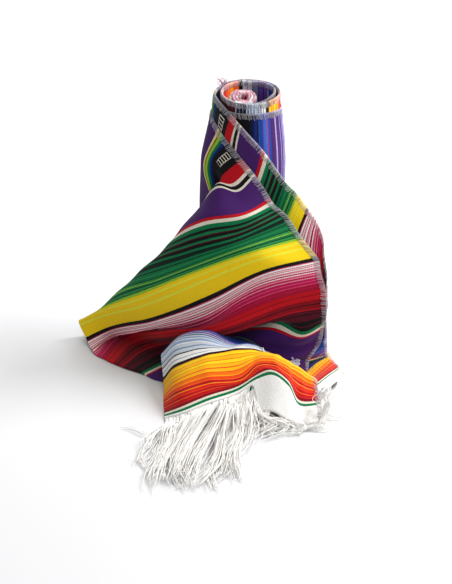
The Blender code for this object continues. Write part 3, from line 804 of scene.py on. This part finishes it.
def serging(name, edge, inner, normal, stripe):
    """Loops over an edge. edge and inner are lines along the cloth's rim and SERGED inside it."""
    run = run_of(edge)
    count = int(run[-1] / STITCH_STEP)
    across = np.array([1.0, 0.66, 0.33, 0.0, -0.12, 0.0, 0.33, 0.66, 1.0])
    lift = np.array([0.9, 1.3, 1.3, 1.0, 0.0, -1.0, -1.3, -1.3, -0.9]) * (SHEET / 2 + THREAD * 0.4)
    slant = STITCH_SLANT * np.abs(np.linspace(-1, 1, len(across)))
    at = (np.arange(count) + 0.5)[:, None] * STITCH_STEP + slant[None, :]
    at += RANDOM.uniform(-0.2, 0.2, (count, 1))
    at = np.clip(at, 0, run[-1])

    def read(line):
        return np.stack([np.interp(at, run, line[:, axis]) for axis in range(3)], axis=-1)

    e, i, n = read(edge), read(inner), unit(read(normal))
    uneven = RANDOM.uniform(0.85, 1.12, (count, 1))
    paths = e + (i - e) * (across[None, :] * uneven)[..., None] + n * lift[None, :, None]
    paths[..., 2] = np.maximum(paths[..., 2], THREAD)
    side = unit(read(np.gradient(edge, axis=0)))
    radius = np.full(paths.shape[:2], THREAD)
    tone = RANDOM.choice([0.0, 0.5, 0.8, 1.0], count, p=[0.14, 0.22, 0.32, 0.32])
    print(name, "stitches:", count)
    return tubes(name, paths, side, radius, tone, 5, edge_thread, stripe=np.interp(at[:, 4], run, stripe))


def edge_lines(sheet, last):
    """The rim of a sheet's grid, the line one band inside it, the face's normal and the stripe there."""
    grid, stripes = sheet[:2]
    normal = normals_of(grid)
    if last:
        rim, nearby, out, stripe = grid[:, -1], grid[:, -4], normal[:, -2], stripes[:, -1]
    else:
        rim, nearby, out, stripe = grid[:, 0], grid[:, 3], -normal[:, 1], stripes[:, 0]
    return rim, rim + unit(nearby - rim) * SERGED, out, stripe


def both_edges(stem, sheet):
    front = serging("front_" + stem, *edge_lines(sheet, True))
    return [front, serging("back_" + stem, *edge_lines(sheet, False))]


drape_serging = both_edges("drape_serging", drape_sheet)
end_serging = both_edges("end_serging", end_sheet)
roll_serging = both_edges("roll_serging", rolled_sheet)

# %% Loose ends of thread
# Columns: place of the tuft, its size, its number of loops, and the stripe whose colour it takes.
TUFTS = (((-33, 27, 343), 7, 16, 300), ((56, -120, 33), 6, 24, 206), ((57, -122, 33), 5, 14, -30),
         ((82, -180, 26), 13, 16, -30))


def tuft(place, size, loops):
    """Loops that leave a point and come back near it: sines of different beats, lifted by a half wave."""
    t = np.linspace(0, 1, 18)[None, :, None]
    beat = RANDOM.uniform(3.0, 7.0, (loops, 1, 3))
    phase = RANDOM.uniform(0, math.tau, (loops, 1, 3))
    reach = RANDOM.uniform(0.4, 1.0, (loops, 1, 1)) * size
    loop = (np.sin(beat * t + phase) - np.sin(phase)) * np.sin(math.pi * t * 0.8)
    path = np.array(place, float) + reach * 0.55 * loop
    path[..., 2] += (reach * 0.5 * np.sin(math.pi * t))[..., 0]
    return path


def loose_threads():
    path = np.concatenate([tuft(*row[:3]) for row in TUFTS])
    stripe = np.concatenate([np.full(row[2], float(row[3])) for row in TUFTS])
    side = unit(np.cross(np.gradient(path, axis=1), (0.1, 0.2, 1.0)))
    radius = np.full(path.shape[:2], THREAD)
    return tubes("loose_threads", path, side, radius, np.full(len(path), 0.8), 5, edge_thread, stripe=stripe)


loose = loose_threads()
print("loose loops:", sum(row[2] for row in TUFTS))

# %% [markdown]
# ## The fringe
# The warp ends hang free past the white heading. They are soft and fine, so they gather in locks, cross
# each other and lie in a heap that has been swept to the left. Each lock is a curve through a few points on
# the floor, and its yarns share that curve but scatter about it. A few stray yarns loop out by themselves.
# Yarns lie on the floor, one on another, and none goes under it.

# %% The locks
# Columns: share of the hem, yarns, spread, then the points that the lock passes after its root.
FRONT_LOCKS = (
    (0.01, 5, 2.5, (-108, -226, 6), (-118, -246, 4), (-111, -258, 3), (-98, -246, 6)),
    (0.02, 3, 2.0, (-110, -228, 4), (-122, -222, 3), (-136, -209, 2), (-153, -208, 1)),
    (0.03, 16, 5.0, (-101, -222, 6), (-108, -250, 5), (-112, -278, 3), (-103, -302, 2)),
    (0.06, 20, 5.5, (-94, -226, 12), (-98, -262, 7), (-106, -302, 4), (-107, -334, 2)),
    (0.07, 3, 2.0, (-100, -240, 8), (-112, -264, 4), (-126, -284, 2), (-148, -282, 1)),
    (0.10, 22, 5.5, (-84, -224, 14), (-90, -258, 9), (-94, -296, 5), (-84, -330, 3)),
    (0.15, 24, 5.0, (-72, -218, 18), (-86, -250, 12), (-98, -284, 7), (-112, -312, 3)),
    (0.20, 26, 4.5, (-58, -212, 24), (-74, -244, 15), (-86, -280, 9), (-92, -324, 4)),
    (0.24, 26, 4.5, (-42, -206, 28), (-60, -238, 17), (-76, -278, 10), (-88, -322, 5)),
    (0.29, 26, 4.5, (-32, -204, 30), (-44, -240, 17), (-60, -282, 10), (-70, -326, 4)),
    (0.33, 20, 4.0, (-26, -206, 28), (-33, -242, 14), (-42, -300, 7), (-66, -338, 4)),
    (0.38, 26, 3.6, (-15, -204, 28), (-13, -238, 13), (-19, -286, 7), (-14, -322, 3)),
    (0.42, 18, 4.0, (-8, -204, 28), (-14, -234, 15), (-27, -276, 9), (-33, -312, 4)),
    (0.46, 14, 4.0, (-2, -206, 26), (-2, -226, 12), (-8, -248, 6), (-22, -272, 4)),
    (0.52, 8, 3.5, (6, -208, 16), (8, -220, 8), (3, -236, 4), (-6, -254, 2)),
    (0.55, 16, 5.0, (10, -208, 10), (18, -216, 9), (10, -222, 6), (-2, -224, 3)),
    (0.60, 16, 5.0, (16, -210, 12), (26, -216, 9), (18, -224, 6), (4, -228, 2)),
    (0.68, 16, 5.0, (34, -212, 11), (44, -218, 8), (34, -224, 4), (22, -226, 2)),
    (0.78, 9, 3.5, (56, -214, 6), (64, -219, 4), (58, -224, 3), (48, -222, 2)),
    (0.90, 8, 3.0, (74, -210, 4), (82, -214, 4), (88, -212, 3), (92, -206, 2)),
    (0.99, 12, 2.5, (88, -194, 10), (90, -188, 22), (86, -184, 34), (82, -186, 44)),
)
BACK_LOCKS = (
    (0.02, 14, 5.0, (-103, -232, 2), (-108, -256, 2), (-116, -276, 2), (-120, -292, 1)),
    (0.08, 18, 6.0, (-90, -240, 3), (-92, -274, 2), (-84, -306, 2), (-76, -336, 1)),
    (0.15, 20, 6.0, (-72, -238, 4), (-74, -272, 3), (-82, -308, 2), (-72, -342, 2)),
    (0.22, 20, 6.0, (-54, -234, 5), (-58, -268, 3), (-66, -302, 2), (-86, -330, 2)),
    (0.30, 20, 6.0, (-38, -230, 6), (-42, -266, 4), (-52, -302, 3), (-46, -336, 2)),
    (0.37, 20, 5.5, (-24, -226, 7), (-28, -262, 4), (-34, -296, 3), (-52, -326, 2)),
    (0.43, 16, 5.0, (-12, -222, 8), (-18, -250, 4), (-24, -282, 3), (-21, -310, 2)),
    (0.50, 10, 4.5, (2, -218, 6), (0, -236, 3), (-6, -252, 2), (-16, -262, 1)),
    (0.62, 10, 4.5, (22, -216, 4), (26, -226, 2), (18, -232, 2), (8, -238, 1)),
    (0.74, 9, 4.0, (48, -214, 4), (54, -222, 2), (46, -227, 2), (36, -229, 1)),
    (0.84, 8, 3.5, (72, -210, 3), (80, -216, 2), (74, -220, 2), (66, -222, 1)),
    (0.95, 9, 3.0, (94, -190, 3), (103, -190, 2), (108, -184, 2), (110, -176, 1)),
)
YARN = 0.45  # a yarn's usual radius
THINNEST, THICKEST = 0.75, 1.15  # how the yarns' radii vary
YARN_RINGS = 26
STRANDS = 4  # each lock gathers in this many strands
print("locks:", len(FRONT_LOCKS), "and", len(BACK_LOCKS))


# %% Yarn paths
def lock_paths(hem, ahead, lock):
    """A lock's curve through its points, with each yarn a little shorter, aside and wavy on its own."""
    share, yarns, spread, *points = lock
    run = run_of(hem)
    shares = np.clip(share + RANDOM.normal(0, 0.016, yarns), 0.002, 0.998) * run[-1]

    def read(line, at):
        return np.stack([np.interp(at, run, line[:, axis]) for axis in range(3)], axis=-1)

    root, way = read(hem, share * run[-1]), unit(read(ahead, share * run[-1]))
    guide = np.array([root, root + way * 9, *points], float)
    chord = run_of(guide)
    t = np.linspace(0, 1, YARN_RINGS)[None, :]
    reach = RANDOM.uniform(0.8, 1.04, (yarns, 1))
    path = spline(chord, guide, np.ravel(np.minimum(t * reach, 1) * chord[-1])).reshape(yarns, YARN_RINGS, 3)
    path += (read(hem, shares) - root)[:, None] * ((1 - t) ** 2)[..., None]
    strands = RANDOM.normal(0, spread, (STRANDS, 2))
    aside = strands[RANDOM.integers(0, STRANDS, yarns)] + RANDOM.normal(0, 0.35 * spread, (yarns, 2))
    path[..., :2] += aside[:, None] * (smooth(t / 0.9) ** 0.8)[..., None]
    phase = RANDOM.uniform(0, math.tau, (4, yarns, 1))
    for axis in (0, 1):
        wave = 2.0 * np.sin(4.0 * t + phase[axis]) + 0.8 * np.sin(11.0 * t + phase[axis + 2])
        path[..., axis] += (wave - wave[:, :1]) * smooth(t / 0.3)
    path[..., 2] += np.abs(RANDOM.normal(0, 1.6, (yarns, 1))) * smooth(t / 0.4)
    return np.maximum(path, (-np.inf, -np.inf, YARN * THICKEST))


def fringe(name, hem, ahead, locks):
    """All yarns of one layer as one mesh of tubes that thin towards their ends."""
    path = np.concatenate([lock_paths(hem, ahead, lock) for lock in locks])
    count = len(path)
    thin = 1 - 0.45 * smooth((np.linspace(0, 1, YARN_RINGS) - 0.8) / 0.2)
    radius = YARN * RANDOM.uniform(THINNEST, THICKEST, (count, 1)) * thin[None, :]
    side = np.cross(unit(np.gradient(path, axis=1)), (0.0, 0.0, 1.0))
    side = unit(side + np.array([1e-4, 0.0, 0.0]))
    print(name, "yarns:", count)
    return tubes(name, path, side, radius, RANDOM.uniform(0.3, 1.0, count), 5, white_yarn)


end_grid = end_sheet[0]
hem_front, before_front = end_grid[0, -END_COLUMNS:], end_grid[1, -END_COLUMNS:]
hem_back = end_grid[0, : END_COLUMNS + MARGIN_POINTS][::-1]
before_back = end_grid[1, : END_COLUMNS + MARGIN_POINTS][::-1]
front_fringe = fringe("front_yarns", hem_front, hem_front - before_front, FRONT_LOCKS)
back_fringe = fringe("back_yarns", hem_back, hem_back - before_back, BACK_LOCKS)

# %% [markdown]
# ## Studio
# A pale floor, a wide soft light from behind and to the right, and a fill from the front, as for a product
# picture on white paper.

# %% Floor, lights and world
FLOOR_SIZE = 12.0


def studio():
    paper = bpy.data.materials.new("pale_paper")
    paper.use_nodes = True
    shader = paper.node_tree.nodes["Principled BSDF"]
    shader.inputs["Base Color"].default_value = (0.64, 0.64, 0.65, 1)
    shader.inputs["Roughness"].default_value = 0.7
    corner = FLOOR_SIZE / 2 / MM
    ways = np.array([(-1, -1, 0), (1, -1, 0), (1, 1, 0), (-1, 1, 0)])
    points = corner * ways
    floor = mesh_object("floor", points, [(0, 1, 2, 3)], finish=paper)
    world = bpy.data.worlds.new("soft_white")
    world.use_nodes = True
    world.node_tree.nodes["Background"].inputs[0].default_value = (1.0, 1.0, 1.0, 1)
    world.node_tree.nodes["Background"].inputs[1].default_value = 0.36
    scene.world = world


def area_light(name, place, target, size, power):
    light = bpy.data.lights.new(name, "AREA")
    light.size = size
    light.energy = power
    made = bpy.data.objects.new(name, light)
    made.location = place
    made.rotation_euler = (Vector(target) - Vector(place)).to_track_quat("-Z", "Y").to_euler()
    scene.collection.objects.link(made)


studio()
area_light("key", (1.0, 0.15, 1.15), (0, -0.05, 0.1), 0.7, 31)
area_light("front", (0.35, -1.7, 1.1), (0, 0, 0.1), 1.1, 6)
area_light("overhead", (0.1, 0.3, 1.9), (0, 0, 0), 1.2, 13)
area_light("paper", (0.0, 2.6, 1.8), (0.0, 2.7, 0.0), 2.6, 70)

# %% The camera
TARGET = Vector((-0.0286, 0.0, 0.073))
DISTANCE, ELEVATION = 1.6, math.radians(26.5)
PICTURE_HEIGHT, FOCAL_PIXELS, SENSOR = 584, 1231, 36.0

camera = bpy.data.objects.new("camera", bpy.data.cameras.new("camera"))
camera.data.sensor_width = SENSOR
camera.data.lens = FOCAL_PIXELS / PICTURE_HEIGHT * SENSOR
camera.location = TARGET + DISTANCE * Vector((0, -math.cos(ELEVATION), math.sin(ELEVATION)))
camera.rotation_euler = (TARGET - camera.location).to_track_quat("-Z", "Y").to_euler()
scene.collection.objects.link(camera)
scene.camera = camera
scene.view_settings.view_transform = "Standard"
print("lens, mm:", round(camera.data.lens, 2))

# %% [markdown]
# ## Handing over
# Each piece is hung from the root body, and the model's solids that the cloth pieces and the fringes stand
# for are hidden.

for piece, node in ((roll, "rolled_cloth"), (drape, "draped_cloth"), (end, "end_cloth")):
    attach(piece, "root")
    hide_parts(node)
for piece in drape_serging + end_serging + roll_serging + [loose]:
    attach(piece, "root")
for piece, node in ((front_fringe, "front_fringe"), (back_fringe, "back_fringe")):
    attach(piece, "root")
    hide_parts(node)
